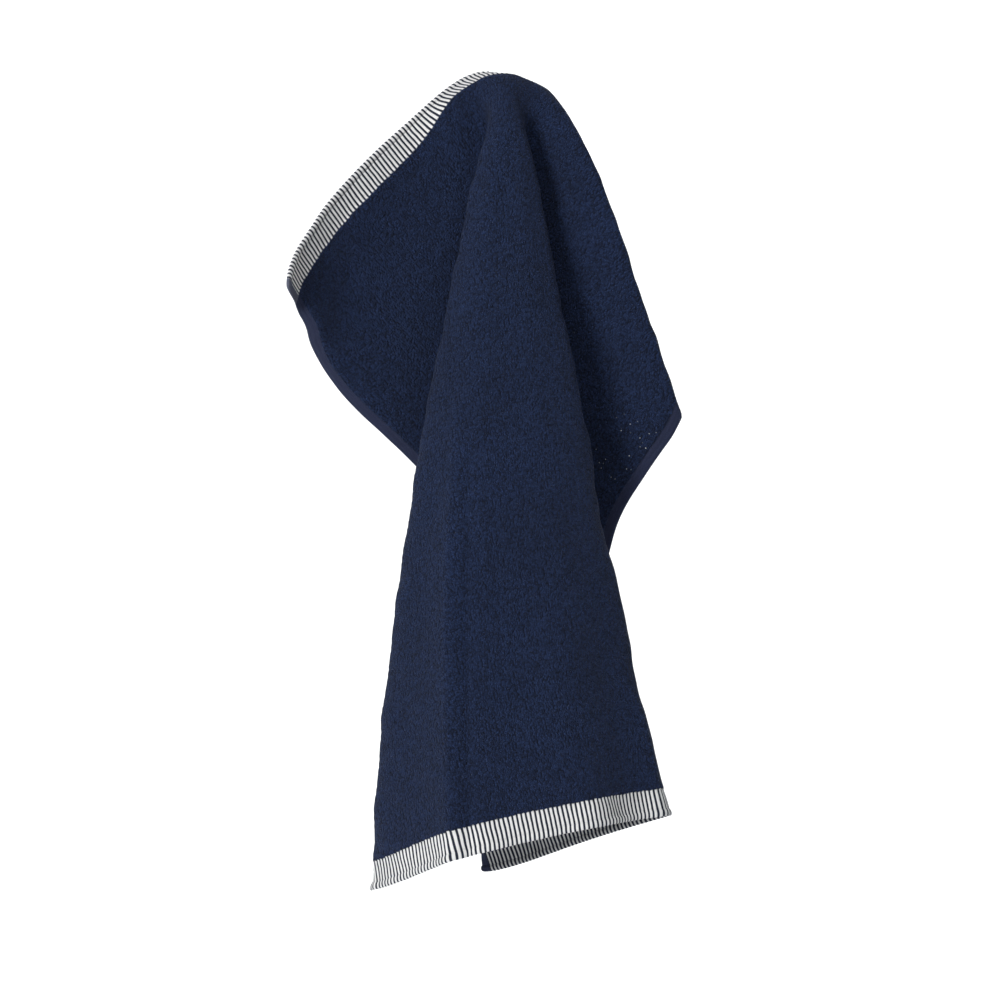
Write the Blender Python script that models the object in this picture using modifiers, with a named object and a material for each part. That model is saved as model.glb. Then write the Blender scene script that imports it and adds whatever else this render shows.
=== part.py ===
"""Terry tea towel hanging in folds from one point of its top edge.

Metres, +Z up, the front faces -Y. The origin is the point from which the towel hangs.
The towel is one woven cloth. Its two ends carry flat striped borders and its two long
sides are turned into narrow hems, all of them part of the same sheet.

The sheet is laid out flat first: u runs across it and v runs down from the top edge.
Straight lines of cloth run out from the hang point like the ribs of a fan. The table
of folds says how each of those lines leans, and the cloth between them follows.
"""

from collections import namedtuple

import bmesh
import bpy
import numpy as np

# Driving sizes
WIDTH = 0.500
LENGTH = 0.600
THICKNESS = 0.0028
BORDER_DEPTH = 0.020
HEM_WIDTH = 0.009
HANG_OFFSET = 0.018

# Grid on which the woven lengths are kept
GRID_COLUMNS = 40
GRID_ROWS = 48

# The mesh: angle in degrees between its lines, rings across them, and how much the rings
# crowd together at the hang point
MESH_ANGLE = 2.4
MESH_RINGS = 24
RING_CROWDING = 1.35
WELD_DISTANCE = 0.00001

# The folds, in order around the hang point from the top left corner to the top right one.
# place: where the line of cloth lies in the fan, in degrees from straight down the cloth
# shoulder: distance over which the line rounds over at the hang point, in metres
# side and forward: lean of the line in degrees, to the right and towards the viewer,
# just below the shoulder (top) and where the line meets the edge of the cloth (rim)
Fold = namedtuple("Fold", "name place shoulder side_top forward_top side_rim forward_rim")
FOLDS = (
    Fold("top left corner", -90.0, 0.018, -54, 17, -15, 27),
    Fold("left flap, upper", -75.0, 0.017, -33, 9, -24, 14),
    Fold("left flap, lower", -58.0, 0.018, -14, 5, -11, 5),
    Fold("hidden valley, left", -42.0, 0.018, 4, 0, 4, 0),
    Fold("hidden valley, right", -37.0, 0.018, 3, 5, 3, 4),
    Fold("left edge of front", -24.0, 0.027, -14, 10, -4, -9),
    Fold("soft front ridge", -15.0, 0.026, -6.5, 16, 1, 1),
    Fold("front panel", -5.0, 0.026, 4.5, 14, 9, 3),
    Fold("right edge of front", 4.0, 0.026, 13, 8, 11, 0),
    Fold("lower right corner", 21.0, 0.020, -3.5, -5, -3.5, -5),
    Fold("right flap, lower", 36.0, 0.038, 9, -3, 5, -3),
    Fold("right flap edge", 47.5, 0.050, 24.5, 1, 17.5, -1),
    Fold("back flap", 68.0, 0.048, 1, -9, 1, -9),
    Fold("top right corner", 90.0, 0.042, -25, -6, -25, -6),
)

# Compass angles, from the viewer round to the right, in which the first and last lines
# of cloth leave the hang point, and how steeply all of them leave it, in degrees
FIRST_HEADING = -65.0
LAST_HEADING = 100.0
SHOULDER_SLOPE = 2.0

# Steps of the fan: angle between lines and distance along a line
ANGLE_STEP = 0.5
REACH_STEP = 0.002
LONGEST_LINE = 0.700

# Half widths in degrees over which folds and rim distances are softened
FOLD_SOFTNESS = 3.0
RIM_SOFTNESS = 5.0

# Power with which a line bends from its top lean to its rim lean
BEND_POWER = 1.5

# Where on a line the spacing of the fan is measured
SPACING_SHARE = 0.75
SPACING_REACH = 0.450
SPACING_ROUNDS = 4

# Rounds that bring the threads back to their woven length, and how firmly
LENGTH_ROUNDS = 120
LENGTH_PULL = 1.6
DIAGONAL_WEIGHT = 0.4
BEND_WEIGHT = 0.3
BEND_LIMIT = 0.93
SHAPE_KEEP = 0.02
SMOOTHING = 0.02

# Finish
NAVY = (0.010, 0.020, 0.055, 1.0)
STRIPE_MEAN = (0.330, 0.340, 0.370, 1.0)
HEM_NAVY = (0.022, 0.028, 0.070, 1.0)
CLOTH_ROUGHNESS = 0.95


def clear_scene():
    for item in list(bpy.data.objects):
        bpy.data.objects.remove(item, do_unlink=True)


def direction(side, forward):
    """Unit vectors for leans in degrees: sideways from straight down, and to the viewer."""
    side = np.radians(side)
    forward = np.radians(forward)
    return np.stack(
        [np.sin(side) * np.cos(forward), -np.sin(forward), -np.cos(side) * np.cos(forward)], axis=-1
    )


def soften(values, half_width):
    """Weighted running mean, with the ends carried on in a straight line."""
    count = int(round(half_width / ANGLE_STEP))
    weights = np.bartlett(2 * count + 3)[1:-1]
    weights = weights / weights.sum()
    before = 2 * values[0] - values[count:0:-1]
    after = 2 * values[-1] - values[-2 : -count - 2 : -1]
    return np.convolve(np.concatenate([before, values, after]), weights, mode="valid")


def rim_distance(angle):
    """Distance from the hang point to the edge of the flat cloth, at angles in degrees."""
    angle = np.radians(angle)
    half = np.where(angle < 0, WIDTH / 2 + HANG_OFFSET, WIDTH / 2 - HANG_OFFSET)
    tiny = 1e-6
    to_side = half / np.maximum(np.abs(np.sin(angle)), tiny)
    to_end = LENGTH / np.maximum(np.cos(angle), tiny)
    return np.minimum(to_side, to_end)


def hang_lines(places, angles):
    """Positions along every line of the fan, for its places in the table and cloth angles."""
    table = np.array([fold[1:] for fold in FOLDS], dtype=float)
    shoulder, side_top, forward_top, side_rim, forward_rim = (
        soften(np.interp(places, table[:, 0], table[:, column]), FOLD_SOFTNESS)
        for column in range(1, 6)
    )
    rim = soften(rim_distance(angles), RIM_SOFTNESS)
    top = direction(side_top, forward_top)
    low = direction(side_rim, forward_rim)

    heading = np.radians(FIRST_HEADING + (LAST_HEADING - FIRST_HEADING) * (angles + 90) / 180)
    slope = np.radians(SHOULDER_SLOPE)
    level = np.stack(
        [
            np.cos(slope) * np.sin(heading),
            -np.cos(slope) * np.cos(heading),
            np.full_like(heading, -np.sin(slope)),
        ],
        axis=-1,
    )

    reach = np.arange(0, LONGEST_LINE + REACH_STEP / 2, REACH_STEP)
    middle = (reach[:-1] + reach[1:])[:, None] / 2
    over = (1 - np.exp(-((middle / shoulder) ** 2)))[..., None]
    bend = (np.clip(middle / rim, 0, 1.15) ** BEND_POWER)[..., None]
    tangent = (1 - over) * level + over * ((1 - bend) * top + bend * low)
    tangent /= np.linalg.norm(tangent, axis=-1, keepdims=True)
    start = np.zeros((1, len(angles), 3))
    return reach, np.concatenate([start, np.cumsum(tangent * REACH_STEP, axis=0)])


def spaced_angles(places):
    """Cloth angles of the table's places, so that the cloth is neither pulled nor pushed."""
    angles = places.copy()
    for _ in range(SPACING_ROUNDS):
        reach, lines = hang_lines(places, angles)
        measured = SPACING_SHARE * np.minimum(rim_distance(angles), SPACING_REACH)
        index = np.round(measured[:-1] / REACH_STEP).astype(int)
        column = np.arange(len(places) - 1)
        gap = np.linalg.norm(lines[index, column + 1] - lines[index, column], axis=-1)
        turned = np.concatenate([[0.0], np.cumsum(gap / reach[index])])
        angles = -90 + 180 * turned / turned[-1]
    return angles


def make_fan():
    """Positions along lines of cloth that lie at even angles around the hang point."""
    places = np.arange(-90, 90 + ANGLE_STEP / 2, ANGLE_STEP)
    angles = spaced_angles(places)
    _, lines = hang_lines(places, angles)
    even = np.stack(
        [[np.interp(places, angles, row[:, axis]) for axis in range(3)] for row in lines]
    )
    return even.transpose(0, 2, 1)


def between(grid, row, column):
    """Values between the points of a grid, at fractional rows and columns."""
    row_0 = np.clip(np.floor(row).astype(int), 0, grid.shape[0] - 2)
    column_0 = np.clip(np.floor(column).astype(int), 0, grid.shape[1] - 2)
    along = (row - row_0)[..., None]
    aside = (column - column_0)[..., None]
    near = (1 - aside) * grid[row_0, column_0] + aside * grid[row_0, column_0 + 1]
    far = (1 - aside) * grid[row_0 + 1, column_0] + aside * grid[row_0 + 1, column_0 + 1]
    return (1 - along) * near + along * far


def lay_on_fan(flat, fan):
    """Places flat points (u, v) on the fan by their distance and angle from the hang point."""
    across = flat[..., 0] - HANG_OFFSET
    row = np.hypot(across, flat[..., 1]) / REACH_STEP
    column = (np.degrees(np.arctan2(across, flat[..., 1])) + 90) / ANGLE_STEP
    return between(fan, row, column)


def thread_links(flat):
    """Pairs of neighbouring points, with their woven distance and weight."""
    every = slice(None)
    first, second = slice(0, -1), slice(1, None)
    first_two, second_two = slice(0, -2), slice(2, None)
    pairs = (
        ((every, first), (every, second), 1.0, False),
        ((first, every), (second, every), 1.0, False),
        ((first, first), (second, second), DIAGONAL_WEIGHT, False),
        ((first, second), (second, first), DIAGONAL_WEIGHT, False),
        ((every, first_two), (every, second_two), BEND_WEIGHT, True),
        ((first_two, every), (second_two, every), BEND_WEIGHT, True),
    )
    links = []
    for one, other, weight, only_bend in pairs:
        woven = np.linalg.norm(flat[other] - flat[one], axis=-1, keepdims=True)
        links.append((one, other, woven, weight, only_bend))
    return links


def even_out(flat, points):
    """Brings the threads back to their woven length without changing the folds."""
    links = thread_links(flat)
    hung = points.copy()
    points = points.copy()
    for turn in range(LENGTH_ROUNDS):
        shift = np.zeros_like(points)
        total = np.zeros(points.shape[:2] + (1,))
        for one, other, woven, weight, only_bend in links:
            step = points[other] - points[one]
            length = np.linalg.norm(step, axis=-1, keepdims=True)
            error = length - woven
            if only_bend:
                error = np.minimum(length - woven * BEND_LIMIT, 0)
            half = 0.5 * error / length * step
            shift[one] += weight * half
            shift[other] -= weight * half
            total[one] += weight
            total[other] += weight
        points += LENGTH_PULL * shift / total
        smooth = np.zeros_like(points)
        smooth[1:-1] += (points[2:] + points[:-2]) / 2 - points[1:-1]
        smooth[:, 1:-1] += (points[:, 2:] + points[:, :-2]) / 2 - points[:, 1:-1]
        points += SMOOTHING * smooth
        points += SHAPE_KEEP * (1 - turn / LENGTH_ROUNDS) * (hung - points)
    return points


def woven_grid():
    """Flat coordinates of an even grid over the sheet."""
    u = np.linspace(-WIDTH / 2, WIDTH / 2, GRID_COLUMNS + 1)
    v = np.linspace(0, LENGTH, GRID_ROWS + 1)
    return np.stack(np.meshgrid(u, v), axis=-1)


def sample(grid, flat):
    """Values between the points of an even grid over the sheet."""
    row = flat[..., 1] / LENGTH * (grid.shape[0] - 1)
    column = (flat[..., 0] / WIDTH + 0.5) * (grid.shape[1] - 1)
    return between(grid, row, column)


def fan_mesh_angles():
    """Angles of the mesh lines: even, with one through each lower corner of the cloth."""
    lower_left = np.degrees(np.arctan2(-WIDTH / 2 - HANG_OFFSET, LENGTH))
    lower_right = np.degrees(np.arctan2(WIDTH / 2 - HANG_OFFSET, LENGTH))
    stops = (-90.0, lower_left, lower_right, 90.0)
    parts = []
    for start, end in zip(stops[:-1], stops[1:]):
        count = int(round((end - start) / MESH_ANGLE))
        parts.append(np.linspace(start, end, count, endpoint=False))
    return np.concatenate(parts + [[90.0]])


def fan_mesh_points():
    """Flat coordinates of the mesh: lines out from the hang point, crossed by rings."""
    angles = fan_mesh_angles()
    share = np.linspace(0, 1, MESH_RINGS + 1) ** RING_CROWDING
    reach = share[:, None] * rim_distance(angles)[None, :]
    turned = np.radians(angles)[None, :]
    return np.stack([HANG_OFFSET + reach * np.sin(turned), reach * np.cos(turned)], axis=-1)


def make_material(name, colour):
    material = bpy.data.materials.new(name)
    material.use_nodes = True
    shader = material.node_tree.nodes["Principled BSDF"]
    shader.inputs["Base Color"].default_value = colour
    shader.inputs["Roughness"].default_value = CLOTH_ROUGHNESS
    shader.inputs["Metallic"].default_value = 0.0
    return material


def add_towel(collection):
    """The towel: lines and rings laid on the folds and given the thickness of the terry."""
    fan = make_fan()
    woven = woven_grid()
    hung = lay_on_fan(woven, fan)
    eased = even_out(woven, hung) - hung
    flat = fan_mesh_points()
    points = lay_on_fan(flat, fan) + sample(eased, flat)
    rings, lines = flat.shape[:2]

    shape = bmesh.new()
    bmesh.ops.create_grid(shape, x_segments=lines - 1, y_segments=rings - 1, size=0.5)
    place = {}
    for vertex in shape.verts:
        line = int(round((vertex.co.x + 0.5) * (lines - 1)))
        ring = int(round((0.5 - vertex.co.y) * (rings - 1)))
        place[vertex] = (ring, line)
    for face in shape.faces:
        u, v = np.mean([flat[place[vertex]] for vertex in face.verts], axis=0)
        if v < BORDER_DEPTH or v > LENGTH - BORDER_DEPTH:
            face.material_index = 1
        elif abs(u) > WIDTH / 2 - HEM_WIDTH:
            face.material_index = 2
        face.smooth = True
    for vertex, key in place.items():
        vertex.co = points[key]
    bmesh.ops.remove_doubles(shape, verts=shape.verts, dist=WELD_DISTANCE)
    mesh = bpy.data.meshes.new("towel")
    shape.to_mesh(mesh)
    shape.free()

    towel = bpy.data.objects.new("towel", mesh)
    mesh.materials.append(make_material("terry navy", NAVY))
    mesh.materials.append(make_material("striped border", STRIPE_MEAN))
    mesh.materials.append(make_material("flat hem navy", HEM_NAVY))
    thicken = towel.modifiers.new("cloth thickness", "SOLIDIFY")
    thicken.thickness = THICKNESS
    thicken.offset = 0.0
    thicken.use_even_offset = False
    collection.objects.link(towel)
    return towel


def main():
    clear_scene()
    collection = bpy.data.collections.new("tea towel")
    bpy.context.scene.collection.children.link(collection)
    add_towel(collection)


main()
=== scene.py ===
"""Looks of the terry tea towel: its cloth, borders, hems, light and camera.

Metres, +Z up, the front faces -Y. The origin is the point from which the towel hangs.
The sheet is laid out flat first: u runs across it and v runs down from the top edge.
Lines of cloth run out from the hang point like the ribs of a fan, and the table of folds
says how each of those lines leans.
"""

from collections import namedtuple
from math import radians

import bpy
import numpy as np
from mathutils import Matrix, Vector


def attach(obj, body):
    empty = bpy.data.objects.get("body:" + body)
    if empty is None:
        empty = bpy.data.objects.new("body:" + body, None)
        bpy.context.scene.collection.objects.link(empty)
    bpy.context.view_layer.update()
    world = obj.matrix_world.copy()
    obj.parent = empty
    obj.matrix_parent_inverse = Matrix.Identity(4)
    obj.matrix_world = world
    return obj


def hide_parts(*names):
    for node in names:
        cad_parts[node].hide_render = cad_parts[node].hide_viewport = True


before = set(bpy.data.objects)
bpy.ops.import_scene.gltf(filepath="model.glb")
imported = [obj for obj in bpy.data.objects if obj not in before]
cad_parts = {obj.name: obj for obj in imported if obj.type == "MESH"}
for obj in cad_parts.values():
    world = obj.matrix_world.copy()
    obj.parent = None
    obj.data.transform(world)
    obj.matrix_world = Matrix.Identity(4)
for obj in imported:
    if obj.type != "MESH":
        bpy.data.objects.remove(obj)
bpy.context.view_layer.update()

# Driving sizes, the same as those of the solid
WIDTH = 0.500
LENGTH = 0.600
BORDER_DEPTH = 0.020
HEM_WIDTH = 0.009
HANG_OFFSET = 0.018

# Thickness of the terry, the flat border, its rolled hem and the turned side hem
TERRY = 0.0028
FLAT = 0.0014
ROLL = 0.0032
ROLL_WIDTH = 0.0048
SIDE_HEM = 0.0022
THINNEST = 0.0010

# How far before and past their lines the steps up from border and hem to terry lie, over
# which width the side edges are rounded off, and the share of their thickness left there
BORDER_STEP = (-0.0004, 0.0008)
HEM_STEP = (-0.0006, 0.0008)
EDGE_ROUNDING = 0.0015
EDGE_SHARE = 0.45

# Radius to which the corners are drawn in
CORNER = 0.005

# Grid on which the woven lengths are kept, and the size of the cells of the fine sheet
GRID_COLUMNS = 40
GRID_ROWS = 48
CELL = 0.0027

# Close steps of the fine sheet, from its sides and from its ends inward
SIDE_DEPTHS = (0, 0.0007, 0.002, 0.0045, 0.007, 0.0084, 0.0092, 0.0105, 0.0125)
END_DEPTHS = (0, 0.0006, 0.0016, 0.003, 0.0043, 0.0051, 0.0062, 0.009, 0.013, 0.017)
END_DEPTHS += (0.0194, 0.0202, 0.021, 0.0225)

# Keeps divisions away from zero
TINY = 1e-9

# The folds, in order around the hang point from the top left corner to the top right one.
# place: where the line of cloth lies in the fan, in degrees from straight down the cloth
# shoulder: distance over which the line rounds over at the hang point, in metres
# side and forward: lean of the line in degrees, to the right and towards the viewer,
# just below the shoulder (top) and where the line meets the edge of the cloth (rim)
Fold = namedtuple("Fold", "name place shoulder side_top forward_top side_rim forward_rim")
FOLDS = (
    Fold("top left corner", -90.0, 0.018, -54, 17, -15, 27),
    Fold("left flap, upper", -75.0, 0.017, -33, 9, -24, 14),
    Fold("left flap, lower", -58.0, 0.018, -14, 5, -11, 5),
    Fold("hidden valley, left", -42.0, 0.018, 4, 0, 4, 0),
    Fold("hidden valley, right", -37.0, 0.018, 3, 5, 3, 4),
    Fold("left edge of front", -24.0, 0.027, -14, 10, -4, -9),
    Fold("soft front ridge", -15.0, 0.026, -6.5, 16, 1, 1),
    Fold("front panel", -5.0, 0.026, 4.5, 14, 9, 3),
    Fold("right edge of front", 4.0, 0.026, 13, 8, 11, 0),
    Fold("lower right corner", 21.0, 0.020, -3.5, -5, -3.5, -5),
    Fold("right flap, lower", 36.0, 0.038, 9, -3, 5, -3),
    Fold("right flap edge", 47.5, 0.050, 24.5, 1, 17.5, -1),
    Fold("back flap", 68.0, 0.048, 1, -9, 1, -9),
    Fold("top right corner", 90.0, 0.042, -25, -6, -25, -6),
)

# Compass angles in which the first and last lines leave the hang point, and their slope
FIRST_HEADING = -65.0
LAST_HEADING = 100.0
SHOULDER_SLOPE = 2.0

# Steps of the fan, and how far its folds and rim are softened, in degrees and metres
ANGLE_STEP = 0.5
REACH_STEP = 0.002
LONGEST_LINE = 0.700
FOLD_SOFTNESS = 3.0
RIM_SOFTNESS = 5.0

# How the lean of a line turns from its top to its rim, and how far past the rim that goes on
BEND_POWER = 1.5
BEND_REACH = 1.15

# Where along the lines their spacing is measured, and the rounds that even it out
SPACING_SHARE = 0.75
SPACING_REACH = 0.450
SPACING_ROUNDS = 4

# Rounds that bring the threads back to their woven length, and how firmly
LENGTH_ROUNDS = 120
LENGTH_PULL = 1.6
DIAGONAL_WEIGHT = 0.4
BEND_WEIGHT = 0.3
BEND_LIMIT = 0.93
SHAPE_KEEP = 0.02
SMOOTHING = 0.02

# Small creases: where each starts and ends on the flat cloth, its half width, and its
# height towards the face of the cloth, in metres
Crease = namedtuple("Crease", "u_start v_start u_end v_end half_width height")
CREASES = (
    Crease(-0.060, 0.240, -0.146, 0.600, 0.012, 0.0062),
    Crease(-0.049, 0.240, -0.133, 0.600, 0.006, -0.0036),
    Crease(0.046, 0.480, 0.050, 0.600, 0.006, -0.0022),
    Crease(0.036, 0.500, 0.038, 0.600, 0.006, 0.0018),
    Crease(-0.232, 0.560, -0.236, 0.600, 0.005, 0.0022),
)

# Share of its length over which a crease rises, and how far its top is rounded
CREASE_RISE = 0.45
CREASE_ROUNDING = 0.0015

# Soft bumps of the cloth, and the distances from the hang point between which they set in
Bumps = namedtuple("Bumps", "height size seed")
UNEVENNESS = (Bumps(0.0007, 0.085, 3), Bumps(0.00035, 0.030, 5))
BUMPS_SET_IN = (0.03, 0.16)
WAVES = 14
WAVE_SPREAD = (0.7, 1.5)

# The folds start softly: how widely they are rounded at the hang point, in degrees of the
# fan, the distance over which that fades, how many times that distance it is followed, the
# steps of the fan it takes in to either side, and its least spread in steps
TOP_ROUNDING = 24.0
TOP_REACH = 0.050
TOP_FADE = 2.2
TOP_STEPS = 90
LEAST_SPREAD = 0.3

# Small shifts of the hung cloth: where (x and z in metres), how far around, and how much
Shift = namedtuple("Shift", "name x z radius right up")
SHIFTS = (
    Shift("top left edge, middle", -0.113, -0.084, 0.055, -0.0034, 0.0032),
    Shift("top left edge, low", -0.156, -0.150, 0.045, -0.0034, 0.0018),
    Shift("top left edge, high", -0.062, -0.030, 0.045, -0.0016, 0.0014),
    Shift("left flap, hollow of the edge", -0.151, -0.198, 0.026, 0.0085, 0.0),
    Shift("left flap, bulge of the edge", -0.120, -0.262, 0.040, -0.0084, 0.0),
    Shift("right shoulder", 0.062, -0.069, 0.055, 0.0050, 0.0012),
    Shift("right flap, upper edge", 0.100, -0.165, 0.050, 0.0026, 0.0),
    Shift("right flap, tip", 0.138, -0.262, 0.034, 0.0030, -0.0085),
    Shift("right flap, lower hem", 0.101, -0.346, 0.036, -0.0070, 0.0),
    Shift("front, right edge", 0.101, -0.444, 0.045, -0.0030, 0.0),
    Shift("lower right tip", 0.131, -0.576, 0.022, 0.0022, 0.0),
    Shift("lower left hem", -0.060, -0.625, 0.045, 0.0, -0.0046),
    Shift("lower left corner", -0.097, -0.632, 0.016, -0.0012, 0.0),
    Shift("back hem", 0.016, -0.617, 0.040, 0.0, -0.0022),
)

# The same, but held to places of the flat cloth: where (u and v), how far around, how much
# right, up and towards the viewer; the top edge itself stays ("below"), or it alone moves
# ("edge"), or both move ("all")
Press = namedtuple("Press", "name part u v u_radius v_radius right up toward")
PRESSES = (
    Press("border lies over the top", "below", -0.030, 0.022, 0.034, 0.026, -0.003, 0.0105, 0.011),
    Press("border tucked behind", "edge", 0.044, 0.0, 0.026, 0.022, 0.0, -0.0075, -0.0050),
    Press("corner curled in", "below", -0.250, 0.022, 0.030, 0.022, -0.0035, 0.0030, -0.0050),
    Press("corner drawn in", "all", -0.252, 0.006, 0.014, 0.020, 0.0020, -0.0010, -0.0030),
    Press("hem of the back upright", "below", 0.250, 0.574, 0.030, 0.020, -0.0060, 0.0, 0.0),
)

# The left hem curls away from the viewer on the flap: over which width, how far back and
# inward, and how sharply. Down the hem it sets in, then eases by a share, then ends.
CURL_WIDTH = 0.014
CURL_HEIGHT = 0.0100
CURL_INWARD = 0.0068
CURL_POWER = 1.7
CURL_SETS_IN = (0.018, 0.040)
CURL_EASES = (0.08, 0.15)
CURL_EASE_SHARE = 0.55
CURL_ENDS = (0.30, 0.38)

# What differs between the two sides: the share and tone of the white in the stripes, how
# deep the borders and how wide the hems show, and whether pale specks lie there. On the
# reverse the loops cover more of the border, the turned hems are wider, and the white stripes
# are narrower and painted a duller grey, a painted shade for the back band in shadow.
Side = namedtuple("Side", "name white_share white_tone border_depth hem_width lint")
FACE = Side("navy terry, face", 0.57, 0.80, BORDER_DEPTH, HEM_WIDTH, 1.0)
# The reverse's duller white tone is painted shade, for the back band in shadow.
REVERSE = Side("navy terry, reverse", 0.43, 0.62, 0.0148, 0.0115, 0.0)

# Terry: loops in a metre, how unevenly they lie, how far each reaches in its cell, and the
# share to which the length is squeezed so that they lie drawn out down the cloth. Then its
# faint rows, its fibres and patches in a metre, and its colours.
LOOPS = 760.0
LOOP_DISORDER = 0.85
LOOP_REACH = 0.95
LOOP_SQUEEZE = 0.72
ROW_WIDTH = 0.0036
ROW_HEIGHT = 0.10
FIBRES = 1100.0
PATCHES = 14.0
FINE_DETAIL = 3.0
TERRY_DEEP = (0.0012, 0.0026, 0.0080, 1.0)
TERRY_TIP = (0.0142, 0.0286, 0.0840, 1.0)

# Parts of chance, loops, fibres and patches in the tone of the terry, and the height of its
# fibres beside that of its loops
CHANCE_TONE = 0.75
LOOP_TONE = 0.6
FIBRE_TONE = 1.3
PATCH_TONE = (0.5, 0.75)
FIBRE_HEIGHT = 0.35

# Stripes: their number, where in its width each turns white, how softly it ends, how they
# slant on the rolled hem, how dull the white is between threads, and the navy ones' colours
STRIPES = 137
STRIPE_START = (0.02, 0.12)
STRIPE_FADE = 0.10
ROLL_SLANT = 0.12
DULL_SHARE = 0.6
STRIPE_NAVIES = ((0.010, 0.013, 0.024, 1.0), (0.026, 0.031, 0.050, 1.0))

# Flat weave: distance of its threads and their part in the tone of the white and the hems,
# then the colours of the hems and of the hem's end at the upper left, painted paler as a
# painted highlight on its curled end
THREAD_WIDTH = 0.0007
THREAD_TONE = 0.05
HEM_THREAD_TONE = 0.12
HEM_NAVIES = ((0.009, 0.012, 0.029, 1.0), (0.029, 0.036, 0.080, 1.0))
HEM_END_HIGHLIGHT_GREYS = ((0.022, 0.026, 0.045, 1.0), (0.170, 0.180, 0.240, 1.0))

# How edges, rows of loops and stripes wander: bumps in a metre, and reach in metres
EDGE_WANDER = (420.0, 0.0022)
ROW_WANDER = (60.0, 0.0012)
STRIPE_WANDER = (90.0, 0.0011)

# How softly the borders and the hems end in the colours, and the halves of the cloth meet
BORDER_BLEND = 0.0004
HEM_BLEND = 0.0005
HALF_BLEND = 0.001

# A few pale specks on the right flap, by its hem: place on the flat cloth and reach, cells
# in a metre, edge of a speck, which of the cells hold one, and their colour
SPECK_PLACE = (0.229, 0.254)
SPECK_RADIUS = 0.034
SPECK_CELLS = 260.0
SPECK_EDGE = (0.06, 0.16)
SPECK_CHANCE = (0.78, 0.98)
SPECK_COLOUR = (0.55, 0.58, 0.62, 1.0)

# Relief of the cloth, parts of the white stripes, the threads and the stitched groove in it,
# and where that groove lies beside the rolled hem
BUMP_STRENGTH = 0.80
BUMP_HEIGHT = 0.0015
WHITE_HEIGHT = 0.25
THREAD_HEIGHT = 0.08
STITCH_DEPTH = 0.5
STITCH_LINE = ROLL_WIDTH + 0.0006
STITCH_WIDTH = 0.0008

CLOTH_SURFACE = {
    "Roughness": 0.92,
    "Specular IOR Level": 0.18,
    "Sheen Weight": 0.04,
    "Sheen Roughness": 0.60,
    "Sheen Tint": (0.45, 0.52, 0.80, 1.0),
}
FLOOR_SURFACE = {
    "Base Color": (0.86, 0.87, 0.88, 1.0),
    "Roughness": 0.9,
    "Specular IOR Level": 0.0,
}

# Camera: level, straight in front of the hang point
CAMERA_DISTANCE = 1.900
PIXELS_PER_METRE = 1285.0
IMAGE_SIZE = 1000.0
HANG_POINT_ROW = 71.5
SENSOR_WIDTH = 36.0
FARTHEST_SEEN = 40.0

# The round floor: depth below the hang point, radius, corners, and rings as shares of the
# radius with their rise
FLOOR_DROP = 1.050
FLOOR_RADIUS = 6.0
FLOOR_SIDES = 96
FLOOR_RINGS = ((0.3, 0.0), (0.6, 0.0), (0.8, 0.03), (0.92, 0.12), (1.0, 0.35), (1.03, 0.9))

# The soft lights: a key from the left, a top light, a weak fill and one for the background
Light = namedtuple("Light", "name place target size power colour")
LIGHTS = (
    Light("key light", (-1.9, -2.7, 0.25), (0.0, -0.05, -0.30), 1.2, 84.0, (1.0, 0.99, 0.98)),
    Light("top light", (0.1, -0.8, 1.5), (0.0, 0.0, 0.0), 0.7, 11.0, (1.0, 1.0, 1.0)),
    Light("fill light", (0.9, -2.3, -0.80), (0.0, 0.0, -0.6), 0.8, 3.5, (0.95, 0.98, 1.0)),
    Light("background light", (0.0, 2.7, 2.6), (0.0, 5.0, -0.8), 4.0, 200.0, (1.0, 1.0, 1.0)),
)
ROOM_COLOUR = (0.97, 0.985, 1.0, 1.0)
ROOM_STRENGTH = 0.11


def direction(side, forward):
    """Unit vectors for leans in degrees: sideways from straight down, and to the viewer."""
    side = np.radians(side)
    forward = np.radians(forward)
    level = np.cos(forward)
    return np.stack([np.sin(side) * level, -np.sin(forward), -np.cos(side) * level], axis=-1)


def carried_on(values, count):
    """Values with both ends carried on, by the ones beside each end turned about it."""
    before = 2 * values[0] - values[count:0:-1]
    after = 2 * values[-1] - values[-2 : -count - 2 : -1]
    return np.concatenate([before, values, after])


def soften(values, half_width):
    """Weighted running mean, with the ends carried on."""
    count = int(round(half_width / ANGLE_STEP))
    weights = np.bartlett(2 * count + 3)[1:-1]
    weights = weights / weights.sum()
    return np.convolve(carried_on(values, count), weights, mode="valid")


def rim_distance(angle):
    """Distance from the hang point to the edge of the flat cloth, at angles in degrees."""
    angle = np.radians(angle)
    half = np.where(angle < 0, WIDTH / 2 + HANG_OFFSET, WIDTH / 2 - HANG_OFFSET)
    to_side = half / np.maximum(np.abs(np.sin(angle)), TINY)
    to_end = LENGTH / np.maximum(np.cos(angle), TINY)
    return np.minimum(to_side, to_end)


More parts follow.
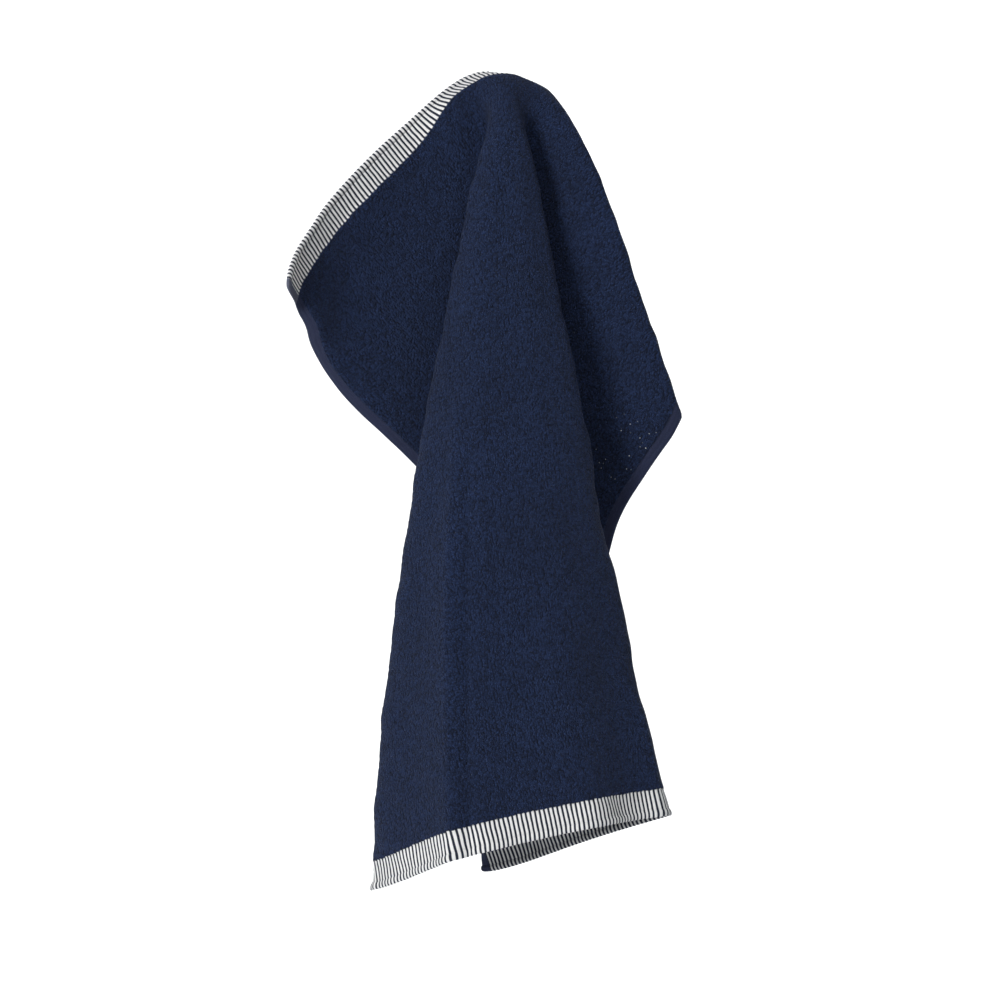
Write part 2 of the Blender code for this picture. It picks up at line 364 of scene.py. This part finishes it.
def hang_lines(places, angles):
    """Positions along every line of the fan, for its places in the table and cloth angles."""
    table = np.array([fold[1:] for fold in FOLDS], dtype=float)
    shoulder, side_top, forward_top, side_rim, forward_rim = (
        soften(np.interp(places, table[:, 0], table[:, column]), FOLD_SOFTNESS)
        for column in range(1, 6)
    )
    rim = soften(rim_distance(angles), RIM_SOFTNESS)
    top = direction(side_top, forward_top)
    low = direction(side_rim, forward_rim)

    heading = np.radians(FIRST_HEADING + (LAST_HEADING - FIRST_HEADING) * (angles + 90) / 180)
    slope = np.radians(SHOULDER_SLOPE)
    level = np.stack(
        [
            np.cos(slope) * np.sin(heading),
            -np.cos(slope) * np.cos(heading),
            np.full_like(heading, -np.sin(slope)),
        ],
        axis=-1,
    )

    reach = np.arange(0, LONGEST_LINE + REACH_STEP / 2, REACH_STEP)
    middle = (reach[:-1] + reach[1:])[:, None] / 2
    over = (1 - np.exp(-((middle / shoulder) ** 2)))[..., None]
    bend = (np.clip(middle / rim, 0, BEND_REACH) ** BEND_POWER)[..., None]
    tangent = (1 - over) * level + over * ((1 - bend) * top + bend * low)
    tangent /= np.linalg.norm(tangent, axis=-1, keepdims=True)
    start = np.zeros((1, len(angles), 3))
    return reach, np.concatenate([start, np.cumsum(tangent * REACH_STEP, axis=0)])


def spaced_angles(places):
    """Cloth angles of the table's places, so that the cloth is neither pulled nor pushed."""
    angles = places.copy()
    for _ in range(SPACING_ROUNDS):
        reach, lines = hang_lines(places, angles)
        measured = SPACING_SHARE * np.minimum(rim_distance(angles), SPACING_REACH)
        index = np.round(measured[:-1] / REACH_STEP).astype(int)
        column = np.arange(len(places) - 1)
        gap = np.linalg.norm(lines[index, column + 1] - lines[index, column], axis=-1)
        turned = np.concatenate([[0.0], np.cumsum(gap / reach[index])])
        angles = -90 + 180 * turned / turned[-1]
    return angles


def make_fan():
    """Positions along lines of cloth that lie at even angles around the hang point."""
    places = np.arange(-90, 90 + ANGLE_STEP / 2, ANGLE_STEP)
    angles = spaced_angles(places)
    _, lines = hang_lines(places, angles)
    even = np.stack(
        [[np.interp(places, angles, row[:, axis]) for axis in range(3)] for row in lines]
    )
    return even.transpose(0, 2, 1)


def rounded_top(fan):
    """Rounds the folds off near the hang point, where the cloth lies over it as a dome."""
    rounded = fan.copy()
    steps = np.arange(-TOP_STEPS, TOP_STEPS + 1)
    reach = np.arange(len(fan)) * REACH_STEP
    for row in np.nonzero(reach < TOP_FADE * TOP_REACH)[0]:
        spread = TOP_ROUNDING * np.exp(-((reach[row] / TOP_REACH) ** 2)) / ANGLE_STEP
        weights = np.exp(-0.5 * (steps / max(spread, LEAST_SPREAD)) ** 2)
        weights /= weights.sum()
        carried = carried_on(fan[row], TOP_STEPS)
        for axis in range(3):
            rounded[row, :, axis] = np.convolve(carried[:, axis], weights, mode="valid")
    return rounded


def between(grid, row, column):
    """Values between the points of a grid, at fractional rows and columns."""
    row_0 = np.clip(np.floor(row).astype(int), 0, grid.shape[0] - 2)
    column_0 = np.clip(np.floor(column).astype(int), 0, grid.shape[1] - 2)
    along = (row - row_0)[..., None]
    aside = (column - column_0)[..., None]
    near = (1 - aside) * grid[row_0, column_0] + aside * grid[row_0, column_0 + 1]
    far = (1 - aside) * grid[row_0 + 1, column_0] + aside * grid[row_0 + 1, column_0 + 1]
    return (1 - along) * near + along * far


def lay_on_fan(flat, fan):
    """Places flat points (u, v) on the fan by their distance and angle from the hang point."""
    across = flat[..., 0] - HANG_OFFSET
    row = np.hypot(across, flat[..., 1]) / REACH_STEP
    column = (np.degrees(np.arctan2(across, flat[..., 1])) + 90) / ANGLE_STEP
    return between(fan, row, column)


def thread_links(flat):
    """Pairs of neighbouring points, with their woven distance and weight."""
    every = slice(None)
    first, second = slice(0, -1), slice(1, None)
    first_two, second_two = slice(0, -2), slice(2, None)
    pairs = (
        ((every, first), (every, second), 1.0, False),
        ((first, every), (second, every), 1.0, False),
        ((first, first), (second, second), DIAGONAL_WEIGHT, False),
        ((first, second), (second, first), DIAGONAL_WEIGHT, False),
        ((every, first_two), (every, second_two), BEND_WEIGHT, True),
        ((first_two, every), (second_two, every), BEND_WEIGHT, True),
    )
    links = []
    for one, other, weight, only_bend in pairs:
        woven = np.linalg.norm(flat[other] - flat[one], axis=-1, keepdims=True)
        links.append((one, other, woven, weight, only_bend))
    return links


def even_out(flat, points):
    """Brings the threads back to their woven length without changing the folds."""
    links = thread_links(flat)
    hung = points.copy()
    points = points.copy()
    for turn in range(LENGTH_ROUNDS):
        shift = np.zeros_like(points)
        total = np.zeros(points.shape[:2] + (1,))
        for one, other, woven, weight, only_bend in links:
            step = points[other] - points[one]
            length = np.linalg.norm(step, axis=-1, keepdims=True)
            error = length - woven
            if only_bend:
                error = np.minimum(length - woven * BEND_LIMIT, 0)
            half = 0.5 * error / length * step
            shift[one] += weight * half
            shift[other] -= weight * half
            total[one] += weight
            total[other] += weight
        points += LENGTH_PULL * shift / total
        smooth = np.zeros_like(points)
        smooth[1:-1] += (points[2:] + points[:-2]) / 2 - points[1:-1]
        smooth[:, 1:-1] += (points[:, 2:] + points[:, :-2]) / 2 - points[:, 1:-1]
        points += SMOOTHING * smooth
        points += SHAPE_KEEP * (1 - turn / LENGTH_ROUNDS) * (hung - points)
    return points


def woven_grid():
    """Flat coordinates of an even grid over the sheet."""
    u = np.linspace(-WIDTH / 2, WIDTH / 2, GRID_COLUMNS + 1)
    v = np.linspace(0, LENGTH, GRID_ROWS + 1)
    return np.stack(np.meshgrid(u, v), axis=-1)


def cubic_weights(t):
    """Weights of four neighbours in a row, for smooth values between the middle two."""
    return (
        (1 - t) ** 3 / 6,
        (3 * t**3 - 6 * t**2 + 4) / 6,
        (-3 * t**3 + 3 * t**2 + 3 * t + 1) / 6,
        t**3 / 6,
    )


def sample_smoothly(grid, flat):
    """Smooth values between the points of an even grid over the sheet."""
    padded = np.pad(grid, ((1, 1), (1, 1), (0, 0)), mode="reflect", reflect_type="odd")
    row = flat[..., 1] / LENGTH * (grid.shape[0] - 1)
    column = (flat[..., 0] / WIDTH + 0.5) * (grid.shape[1] - 1)
    row_0 = np.clip(np.floor(row).astype(int), 0, grid.shape[0] - 2)
    column_0 = np.clip(np.floor(column).astype(int), 0, grid.shape[1] - 2)
    total = np.zeros(flat.shape[:-1] + (3,))
    for down, row_weight in enumerate(cubic_weights(row - row_0)):
        for right, column_weight in enumerate(cubic_weights(column - column_0)):
            weight = (row_weight * column_weight)[..., None]
            total += weight * padded[row_0 + down, column_0 + right]
    return total


def edge_steps(depths, start, end):
    """Coordinates with close steps near both ends and even steps between."""
    close = np.array(depths)
    count = int(round((end - start - 2 * close[-1]) / CELL))
    even = np.linspace(start + close[-1], end - close[-1], count + 1)
    return np.concatenate([start + close[:-1], even, end - close[-2::-1]])


def fine_grid():
    """Flat coordinates of the fine sheet, with close steps in its borders and hems."""
    u = edge_steps(SIDE_DEPTHS, -WIDTH / 2, WIDTH / 2)
    v = edge_steps(END_DEPTHS, 0, LENGTH)
    return np.stack(np.meshgrid(u, v), axis=-1)


def rounded_corners(flat):
    """Flat coordinates with the four corners of the sheet drawn in to a round."""
    side = np.sign(flat[..., 0])
    end = np.where(flat[..., 1] < LENGTH / 2, -1, 1)
    across = np.clip(np.abs(flat[..., 0]) - (WIDTH / 2 - CORNER), 0, None)
    down = np.clip(np.abs(flat[..., 1] - LENGTH / 2) - (LENGTH / 2 - CORNER), 0, None)
    longest = np.maximum(across, down)
    scale = longest / np.maximum(np.hypot(across, down), TINY)
    u = flat[..., 0] - side * across * (1 - scale) * (longest > 0)
    v = flat[..., 1] - end * down * (1 - scale) * (longest > 0)
    return np.stack([u, v], axis=-1)


def smooth_step(value, low, high):
    """From 0 below low to 1 above high, with soft ends."""
    t = np.clip((value - low) / (high - low), 0, 1)
    return t * t * (3 - 2 * t)


def half_round(distance, width):
    """Height of a round roll along an edge, from 0 at its sides to 1 on its middle."""
    t = np.clip(distance / width, 0, 1) * 2 - 1
    return np.sqrt(np.clip(1 - t * t, 0, 1))


def soft_noise(flat, size, seed):
    """Smooth random values from about -1 to 1, with bumps of the given size in metres."""
    rng = np.random.default_rng(seed)
    total = np.zeros(flat.shape[:-1])
    for _ in range(WAVES):
        turn = rng.uniform(0, np.pi)
        wave = 2 * np.pi / (size * rng.uniform(*WAVE_SPREAD))
        along = flat[..., 0] * np.cos(turn) + flat[..., 1] * np.sin(turn)
        total += np.sin(along * wave + rng.uniform(0, 2 * np.pi))
    return total / np.sqrt(WAVES)


def cloth_thickness(flat):
    """Thickness of the sheet: terry, flat borders, rolled end hems and turned side hems."""
    from_end = np.minimum(flat[..., 1], LENGTH - flat[..., 1])
    from_side = WIDTH / 2 - np.abs(flat[..., 0])
    border_end = (BORDER_DEPTH + BORDER_STEP[0], BORDER_DEPTH + BORDER_STEP[1])
    hem_end = (HEM_WIDTH + HEM_STEP[0], HEM_WIDTH + HEM_STEP[1])
    thick = FLAT + (TERRY - FLAT) * smooth_step(from_end, *border_end)
    hem = SIDE_HEM + (TERRY - SIDE_HEM) * smooth_step(from_side, *hem_end)
    thick = np.where(from_end > BORDER_DEPTH, np.minimum(thick, hem), thick)
    roll = FLAT + (ROLL - FLAT) * half_round(from_end, ROLL_WIDTH)
    thick = np.where(from_end < ROLL_WIDTH, roll, thick)
    share = EDGE_SHARE + (1 - EDGE_SHARE) * smooth_step(from_side, 0, EDGE_ROUNDING)
    side = np.maximum(SIDE_HEM * share, THINNEST)
    return np.where(from_side < EDGE_ROUNDING, np.minimum(thick, side), thick)


def crease_heights(flat):
    """Heights of the small creases, which rise softly from where they start."""
    total = np.zeros(flat.shape[:-1])
    for crease in CREASES:
        start = np.array([crease.u_start, crease.v_start])
        run = np.array([crease.u_end, crease.v_end]) - start
        length = np.linalg.norm(run)
        offset = flat - start
        along = offset @ run / length**2
        aside = (offset[..., 0] * run[1] - offset[..., 1] * run[0]) / length
        rise = smooth_step(along, 0, CREASE_RISE)
        rounded = np.sqrt(aside**2 + CREASE_ROUNDING**2) - CREASE_ROUNDING
        total += crease.height * rise * np.exp(-rounded / crease.half_width)
    return total


def shifted(points):
    """Moves the hung cloth a little, by the table of shifts."""
    moved = points.copy()
    for shift in SHIFTS:
        apart = (points[..., 0] - shift.x) ** 2 + (points[..., 2] - shift.z) ** 2
        near = np.exp(-apart / shift.radius**2)
        moved[..., 0] += shift.right * near
        moved[..., 2] += shift.up * near
    return moved


def pressed(flat, points):
    """Moves places of the cloth a little, by the table of presses."""
    moved = points.copy()
    below = np.clip(flat[..., 1] / BORDER_DEPTH, 0, 1)
    parts = {"below": below, "edge": 1 - below, "all": 1}
    for press in PRESSES:
        across = (flat[..., 0] - press.u) / press.u_radius
        down = (flat[..., 1] - press.v) / press.v_radius
        near = np.exp(-(across**2) - down**2) * parts[press.part]
        moved += near[..., None] * np.array([press.right, -press.toward, press.up])
    return moved


def curl_share(flat):
    """How much the left hem curls away from the viewer on the flap, from 0 to 1."""
    inward = np.clip((flat[..., 0] + WIDTH / 2) / CURL_WIDTH, 0, 1)
    depth = flat[..., 1]
    along = 1 - CURL_EASE_SHARE * smooth_step(depth, *CURL_EASES)
    along -= (1 - CURL_EASE_SHARE) * smooth_step(depth, *CURL_ENDS)
    along *= smooth_step(depth, *CURL_SETS_IN)
    return (1 - inward) ** CURL_POWER * along


def hung_middle(flat):
    """Middle surface of the hung cloth, with its small unevenness and its curled hem."""
    fan = make_fan()
    woven = woven_grid()
    hung = lay_on_fan(woven, fan)
    eased = even_out(woven, hung) - hung
    points = lay_on_fan(flat, rounded_top(fan)) + sample_smoothly(eased, flat)
    points = pressed(flat, shifted(points))
    normal = face_normals(points)
    from_hang = np.hypot(flat[..., 0] - HANG_OFFSET, flat[..., 1])
    share = smooth_step(from_hang, *BUMPS_SET_IN)
    uneven = sum(bumps.height * soft_noise(flat, bumps.size, bumps.seed) for bumps in UNEVENNESS)
    curl = curl_share(flat)[..., None]
    inward = np.gradient(points, axis=1)
    inward /= np.linalg.norm(inward, axis=-1, keepdims=True)
    uneven = (share * (uneven + crease_heights(flat)))[..., None]
    return points + (uneven - CURL_HEIGHT * curl) * normal + CURL_INWARD * curl * inward


def face_normals(points):
    """Unit normals on the face side of the cloth, which looks to the viewer on the front."""
    across = np.gradient(points, axis=1)
    down = np.gradient(points, axis=0)
    normal = np.cross(down, across)
    return normal / np.maximum(np.linalg.norm(normal, axis=-1, keepdims=True), TINY)


def sheet_triangles(flat):
    """Triangles of one side of the sheet, cut along the folds that fan out from the top."""
    rows, columns = flat.shape[:2]
    index = np.arange(rows * columns).reshape(rows, columns)
    top_left, top_right = index[:-1, :-1], index[:-1, 1:]
    low_left, low_right = index[1:, :-1], index[1:, 1:]
    falling = np.stack([top_left, top_right, low_right, top_left, low_right, low_left], axis=-1)
    rising = np.stack([top_left, top_right, low_left, top_right, low_right, low_left], axis=-1)
    to_right = (flat[:-1, :-1, 0] > HANG_OFFSET)[..., None]
    return np.where(to_right, falling, rising).reshape(-1, 3)


def sheet_mesh(name, flat, face, reverse):
    """Closed mesh of the sheet from its two sides, with flat coordinates as its UVs."""
    rows, columns = flat.shape[:2]
    count = rows * columns
    index = np.arange(count).reshape(rows, columns)
    reverse_side = sheet_triangles(flat)
    face_side = reverse_side[:, ::-1]
    rim = np.concatenate([index[0, :], index[1:, -1], index[-1, -2::-1], index[-2:0:-1, 0]])
    after = np.roll(rim, -1)
    rim_one = np.stack([rim, after, after + count], axis=-1)
    rim_other = np.stack([rim, after + count, rim + count], axis=-1)
    triangles = np.concatenate([face_side, reverse_side + count, rim_one, rim_other])

    mesh = bpy.data.meshes.new(name)
    vertices = np.concatenate([face.reshape(-1, 3), reverse.reshape(-1, 3)])
    mesh.from_pydata(vertices.tolist(), [], triangles.tolist())
    layer = mesh.uv_layers.new(name="cloth")
    scaled = flat.reshape(-1, 2) / np.array([WIDTH, LENGTH]) + np.array([0.5, 0.0])
    both = np.concatenate([scaled, scaled])
    layer.data.foreach_set("uv", both[triangles.reshape(-1)].astype(np.float32).reshape(-1))
    mesh.polygons.foreach_set("use_smooth", [True] * len(triangles))
    on_reverse = np.zeros(len(triangles), dtype=np.int32)
    on_reverse[len(face_side) : 2 * len(face_side)] = 1
    mesh.polygons.foreach_set("material_index", on_reverse)
    mesh.update()
    return mesh


class Nodes:
    """Short ways to add and join the nodes of one material."""

    def __init__(self, material):
        self.tree = material.node_tree
        self.links = self.tree.links

    def add(self, kind, **values):
        """A new node with these properties."""
        node = self.tree.nodes.new(kind)
        for key, value in values.items():
            setattr(node, key, value)
        return node

    def put(self, socket, value):
        """Joins an output to the socket, or sets the socket to a plain value."""
        if hasattr(value, "is_linked"):
            self.links.new(value, socket)
        else:
            socket.default_value = value

    def math(self, operation, *values, clamp=False):
        """Result of an operation on one to three values."""
        node = self.add("ShaderNodeMath", operation=operation, use_clamp=clamp)
        for socket, value in zip(node.inputs, values):
            self.put(socket, value)
        return node.outputs[0]

    def step(self, value, low, high):
        """From 0 below low to 1 above high, with soft ends."""
        node = self.add("ShaderNodeMapRange", interpolation_type="SMOOTHSTEP")
        self.put(node.inputs["Value"], value)
        self.put(node.inputs["From Min"], low)
        self.put(node.inputs["From Max"], high)
        return node.outputs["Result"]

    def fall(self, value, low, high):
        """From 1 below low to 0 above high, with soft ends."""
        return self.math("SUBTRACT", 1.0, self.step(value, low, high))

    def wave(self, value, length):
        """Sine wave of the given length."""
        return self.math("SINE", self.math("MULTIPLY", value, 2 * np.pi / length))

    def mix(self, share, one, other):
        """Colour between two colours."""
        node = self.add("ShaderNodeMix", data_type="RGBA")
        self.put(node.inputs[0], share)
        self.put(node.inputs[6], one)
        self.put(node.inputs[7], other)
        return node.outputs[2]

    def blend(self, share, one, other):
        """Value between two values."""
        node = self.add("ShaderNodeMix", data_type="FLOAT")
        self.put(node.inputs[0], share)
        self.put(node.inputs[2], one)
        self.put(node.inputs[3], other)
        return node.outputs[0]

    def vector(self, x, y):
        """Vector in the plane of the flat cloth."""
        node = self.add("ShaderNodeCombineXYZ")
        self.put(node.inputs[0], x)
        self.put(node.inputs[1], y)
        return node.outputs[0]

    def noise(self, vector, scale, detail=2.0):
        """Smooth noise from about 0 to 1."""
        node = self.add("ShaderNodeTexNoise")
        self.put(node.inputs["Vector"], vector)
        node.inputs["Scale"].default_value = scale
        node.inputs["Detail"].default_value = detail
        return node.outputs["Fac"]

    def wander(self, vector, scale, reach):
        """Smooth noise around zero, to half the reach on either side."""
        return self.math("MULTIPLY", self.math("SUBTRACT", self.noise(vector, scale), 0.5), reach)

    def cells(self, vector, scale, randomness):
        """Distance to the middle of the nearest cell, and a random value of that cell."""
        node = self.add("ShaderNodeTexVoronoi", voronoi_dimensions="2D")
        self.put(node.inputs["Vector"], vector)
        node.inputs["Scale"].default_value = scale
        node.inputs["Randomness"].default_value = randomness
        split = self.add("ShaderNodeSeparateColor")
        self.put(split.inputs[0], node.outputs["Color"])
        return node.outputs["Distance"], split.outputs[0]


def new_material(name, surface):
    """Material with these values set on the sockets of its shader."""
    material = bpy.data.materials.new(name)
    material.use_nodes = True
    shader = material.node_tree.nodes["Principled BSDF"]
    for socket, value in surface.items():
        shader.inputs[socket].default_value = value
    return material, shader


def terry_look(make, u, v, flat, fine):
    """Colour and height of the terry: loops in faint rows down the cloth, a little patchy."""
    aside = make.math("ADD", u, make.wander(flat, *ROW_WANDER))
    squeezed = make.vector(aside, make.math("MULTIPLY", v, LOOP_SQUEEZE))
    distance, chance = make.cells(squeezed, LOOPS, LOOP_DISORDER)
    loops = make.fall(distance, 0.0, LOOP_REACH)
    rows = make.math("MULTIPLY_ADD", make.wave(aside, ROW_WIDTH), ROW_HEIGHT, 0.5)
    tone = make.math("MULTIPLY_ADD", chance, CHANCE_TONE, make.math("MULTIPLY", loops, LOOP_TONE))
    tone = make.math("MULTIPLY", tone, make.math("MULTIPLY", fine, FIBRE_TONE))
    patchy = make.math("MULTIPLY_ADD", make.noise(flat, PATCHES, FINE_DETAIL), *PATCH_TONE)
    tone = make.math("MULTIPLY", tone, patchy)
    height = make.math("ADD", make.math("MULTIPLY_ADD", fine, FIBRE_HEIGHT, loops), rows)
    return make.mix(tone, TERRY_DEEP, TERRY_TIP), height


def stripe_look(make, side, u, flat, from_end, fine, weave):
    """Colour and height of the stripes, which wander a little and slant on the rolled hem."""
    sway = make.wander(flat, *STRIPE_WANDER)
    into_roll = make.math("MAXIMUM", make.math("SUBTRACT", ROLL_WIDTH, from_end), 0.0)
    sway = make.math("MULTIPLY_ADD", into_roll, ROLL_SLANT, sway)
    stripe = make.math("FRACT", make.math("MULTIPLY", make.math("ADD", u, sway), STRIPES / WIDTH))
    rise = make.step(stripe, *STRIPE_START)
    fall = make.fall(stripe, side.white_share, side.white_share + STRIPE_FADE)
    white_part = make.math("MULTIPLY", rise, fall)
    # On the reverse this white tone holds painted shade.
    pale = (side.white_tone, side.white_tone, side.white_tone, 1.0)
    dull = (*(DULL_SHARE * tone for tone in pale[:3]), 1.0)
    thread_tone = make.math("MULTIPLY_ADD", weave, THREAD_TONE, 1 - THREAD_TONE)
    white = make.mix(thread_tone, dull, pale)
    colour = make.mix(white_part, make.mix(fine, *STRIPE_NAVIES), white)

    threads = make.math("MULTIPLY", weave, THREAD_HEIGHT)
    height = make.math("MULTIPLY_ADD", white_part, WHITE_HEIGHT, threads)
    stitch = make.math("ABSOLUTE", make.math("SUBTRACT", from_end, STITCH_LINE))
    groove = make.math("MULTIPLY", make.fall(stitch, 0.0, STITCH_WIDTH), STITCH_DEPTH)
    return colour, make.math("SUBTRACT", height, groove)


def speck_share(make, side, u, v, flat):
    """Where pale specks lie: in a few of the cells around one place of the cloth."""
    distance, chance = make.cells(flat, SPECK_CELLS, 1.0)
    speck = make.math("MULTIPLY", make.fall(distance, *SPECK_EDGE), make.step(chance, *SPECK_CHANCE))
    off_u = make.math("SUBTRACT", u, WIDTH / 2 + SPECK_PLACE[0])
    off_v = make.math("SUBTRACT", v, SPECK_PLACE[1])
    away = make.math("ADD", make.math("POWER", off_u, 2.0), make.math("POWER", off_v, 2.0))
    near = make.math("SUBTRACT", side.lint, make.step(away, 0.0, SPECK_RADIUS**2), clamp=True)
    return make.math("MULTIPLY", speck, near)


def add_material(side):
    """Terry, striped flat borders and turned hems of one side of the cloth."""
    material, shader = new_material(side.name, CLOTH_SURFACE)
    make = Nodes(material)
    split = make.add("ShaderNodeSeparateXYZ")
    make.put(split.inputs[0], make.add("ShaderNodeUVMap", uv_map="cloth").outputs[0])
    u = make.math("MULTIPLY", split.outputs[0], WIDTH)
    v = make.math("MULTIPLY", split.outputs[1], LENGTH)
    flat = make.vector(u, v)
    fine = make.noise(flat, FIBRES, FINE_DETAIL)
    weave = make.wave(v, THREAD_WIDTH)

    from_end = make.math("MINIMUM", v, make.math("SUBTRACT", LENGTH, v))
    from_side = make.math("MINIMUM", u, make.math("SUBTRACT", WIDTH, u))
    ragged = make.wander(flat, *EDGE_WANDER)
    end_edge = make.math("ADD", from_end, ragged)
    side_edge = make.math("ADD", from_side, ragged)
    depth = side.border_depth
    in_border = make.fall(end_edge, depth - BORDER_BLEND, depth + BORDER_BLEND)
    in_hem = make.fall(side_edge, side.hem_width - HEM_BLEND, side.hem_width + HEM_BLEND)

    terry, terry_height = terry_look(make, u, v, flat, fine)
    terry = make.mix(speck_share(make, side, u, v, flat), terry, SPECK_COLOUR)
    stripes, stripe_height = stripe_look(make, side, u, flat, from_end, fine, weave)
    hem_tone = make.math("MULTIPLY_ADD", weave, HEM_THREAD_TONE, fine)
    hem = make.mix(hem_tone, *HEM_NAVIES)
    # Painted highlight: the paler grey of the curled hem end at the upper left.
    hem_end = make.mix(hem_tone, *HEM_END_HIGHLIGHT_GREYS)

    # The hems cross the borders, but for the lower left corner. At the upper left one the
    # end of the hem is painted paler, a painted highlight on its curled end.
    right_side = make.step(u, WIDTH / 2, WIDTH / 2 + HALF_BLEND)
    upper_end = make.fall(v, LENGTH / 2, LENGTH / 2 + HALF_BLEND)
    crossing = make.math("MAXIMUM", right_side, upper_end)
    hem_on_border = make.math("MULTIPLY", in_hem, crossing)
    border = make.mix(hem_on_border, stripes, make.mix(right_side, hem_end, hem))
    colour = make.mix(in_border, make.mix(in_hem, terry, hem), border)
    make.put(shader.inputs["Base Color"], colour)

    flat_part = make.math("MAXIMUM", in_border, in_hem)
    bump = make.add("ShaderNodeBump")
    bump.inputs["Strength"].default_value = BUMP_STRENGTH
    bump.inputs["Distance"].default_value = BUMP_HEIGHT
    make.put(bump.inputs["Height"], make.blend(flat_part, terry_height, stripe_height))
    make.put(shader.inputs["Normal"], bump.outputs[0])
    return material


def add_towel():
    """The whole cloth as one closed sheet on the folds of its solid."""
    flat = fine_grid()
    middle = hung_middle(rounded_corners(flat))
    normal = face_normals(middle)
    half = cloth_thickness(flat)[..., None] / 2
    mesh = sheet_mesh("terry cloth", flat, middle + half * normal, middle - half * normal)
    mesh.materials.append(add_material(FACE))
    mesh.materials.append(add_material(REVERSE))
    towel = bpy.data.objects.new("terry_cloth", mesh)
    bpy.context.scene.collection.objects.link(towel)
    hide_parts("towel")
    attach(towel, "root")


def add_floor():
    """A pale floor that rises far away from the towel."""
    turn = np.linspace(0, 2 * np.pi, FLOOR_SIDES, endpoint=False)
    around = np.stack([np.cos(turn), np.sin(turn), np.zeros(FLOOR_SIDES)], axis=-1)
    rings = [np.array([(0.0, 0.0, -FLOOR_DROP)])]
    for reach, rise in FLOOR_RINGS:
        height = np.array([0.0, 0.0, -FLOOR_DROP + FLOOR_RADIUS * rise])
        rings.append(FLOOR_RADIUS * reach * around + height)
    faces = [(0, 1 + k, 1 + (k + 1) % FLOOR_SIDES) for k in range(FLOOR_SIDES)]
    for ring in range(len(FLOOR_RINGS) - 1):
        low = 1 + ring * FLOOR_SIDES
        high = low + FLOOR_SIDES
        for k in range(FLOOR_SIDES):
            after = (k + 1) % FLOOR_SIDES
            faces.append((low + k, high + k, high + after, low + after))
    mesh = bpy.data.meshes.new("floor")
    mesh.from_pydata(np.concatenate(rings).tolist(), [], faces)
    mesh.polygons.foreach_set("use_smooth", [True] * len(faces))
    material, _ = new_material("pale floor", FLOOR_SURFACE)
    mesh.materials.append(material)
    floor = bpy.data.objects.new("floor", mesh)
    bpy.context.scene.collection.objects.link(floor)


def add_lights():
    """The soft lights of the table, in a dim pale room."""
    world = bpy.data.worlds.new("pale room")
    world.use_nodes = True
    background = world.node_tree.nodes["Background"]
    background.inputs["Color"].default_value = ROOM_COLOUR
    background.inputs["Strength"].default_value = ROOM_STRENGTH
    bpy.context.scene.world = world
    for light in LIGHTS:
        data = bpy.data.lights.new(light.name, "AREA")
        data.shape = "DISK"
        data.size = light.size
        data.energy = light.power
        data.color = light.colour
        lamp = bpy.data.objects.new(light.name, data)
        lamp.location = light.place
        aim = Vector(light.target) - Vector(light.place)
        lamp.rotation_euler = aim.to_track_quat("-Z", "Y").to_euler()
        bpy.context.scene.collection.objects.link(lamp)


def add_camera():
    """A level camera, whose lens gives the hang point its row in a square picture."""
    data = bpy.data.cameras.new("camera")
    data.sensor_width = SENSOR_WIDTH
    data.lens = SENSOR_WIDTH * PIXELS_PER_METRE * CAMERA_DISTANCE / IMAGE_SIZE
    data.clip_end = FARTHEST_SEEN
    camera = bpy.data.objects.new("camera", data)
    drop = (IMAGE_SIZE / 2 - HANG_POINT_ROW) / PIXELS_PER_METRE
    camera.location = (0.0, -CAMERA_DISTANCE, -drop)
    camera.rotation_euler = (radians(90), 0.0, 0.0)
    bpy.context.scene.collection.objects.link(camera)
    bpy.context.scene.camera = camera


def main():
    bpy.context.scene.view_settings.view_transform = "Standard"
    add_camera()
    add_lights()
    add_floor()
    add_towel()


main()
